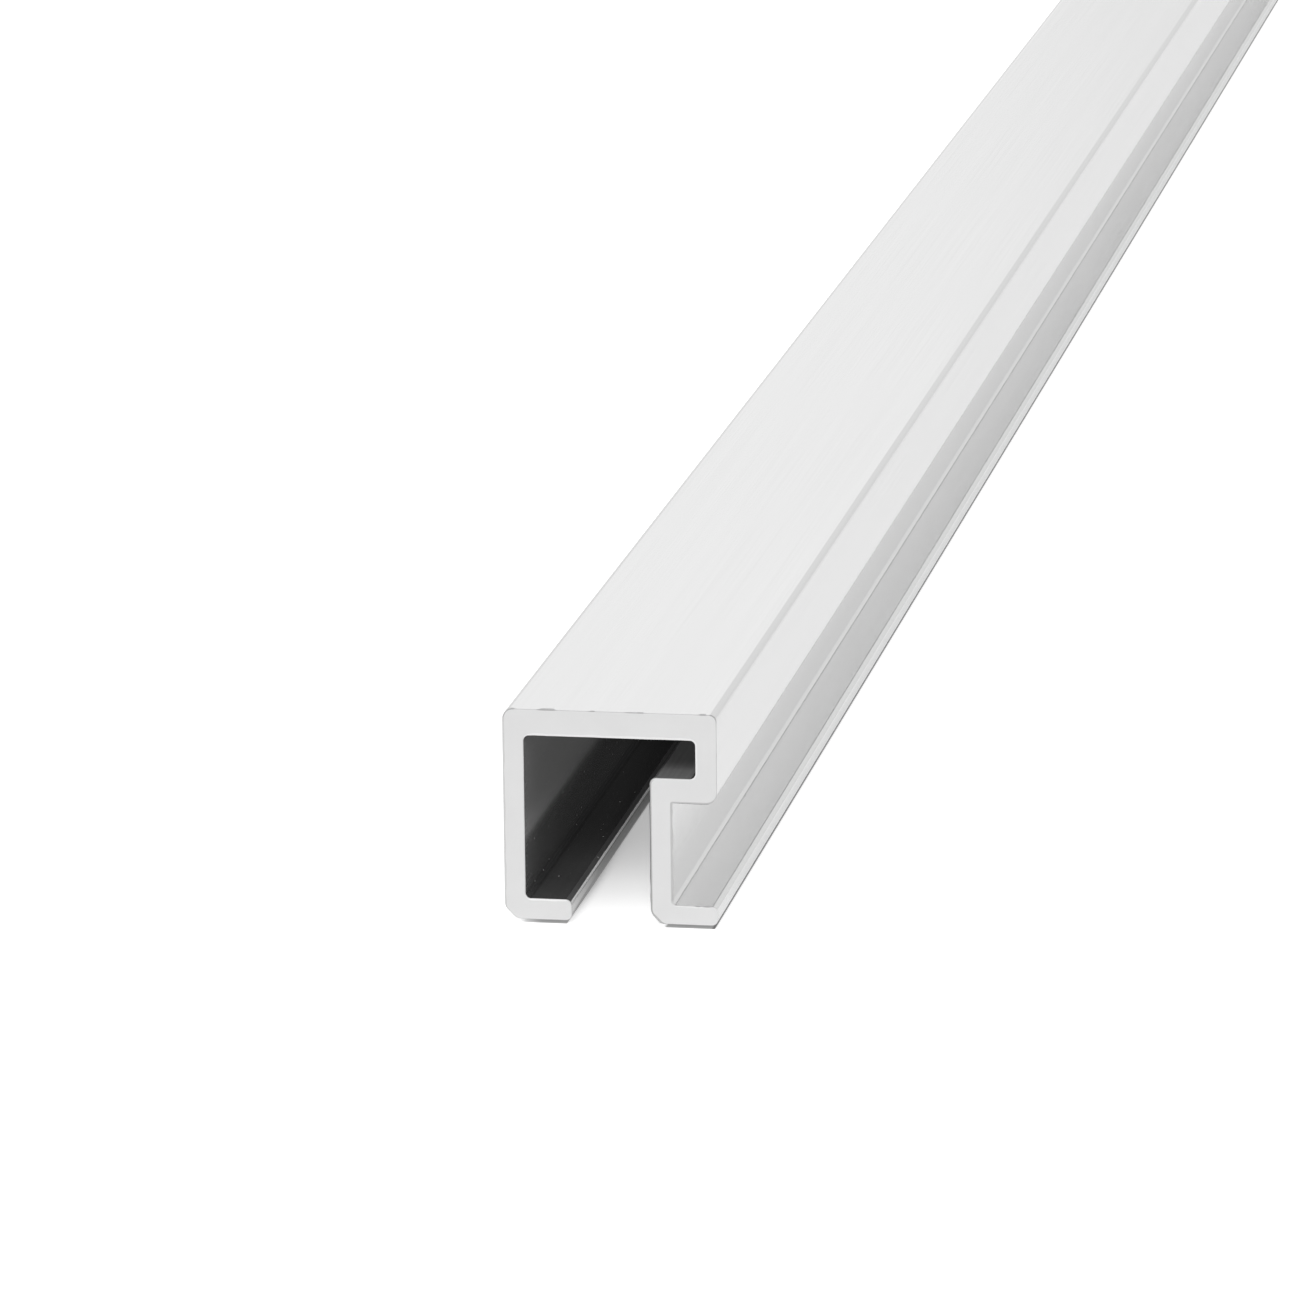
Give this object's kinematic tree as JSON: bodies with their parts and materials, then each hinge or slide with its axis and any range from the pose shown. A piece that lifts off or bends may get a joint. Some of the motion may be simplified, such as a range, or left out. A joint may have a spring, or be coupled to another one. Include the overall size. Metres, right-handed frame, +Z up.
{
  "type": "aluminium extrusion profile",
  "caption": "Straight extruded aluminium bar with a slotted chamber underneath and an open panel groove along its side, sawn square at the ends; stock for frames, rails and edging.",
  "frame": {"origin": "on the floor, under the middle of the bar's length and width", "axes": "+Y along the bar, +X towards the panel groove, +Z up towards the flat top"},
  "size_m": [0.02, 1, 0.02],
  "materials": {
    "anodised_aluminium": "satin, clear anodised, with fine lengthwise die lines and sawn ends"
  },
  "bodies": {
    "root": {"profile_bar": "anodised_aluminium"}
  },
  "joints": []
}
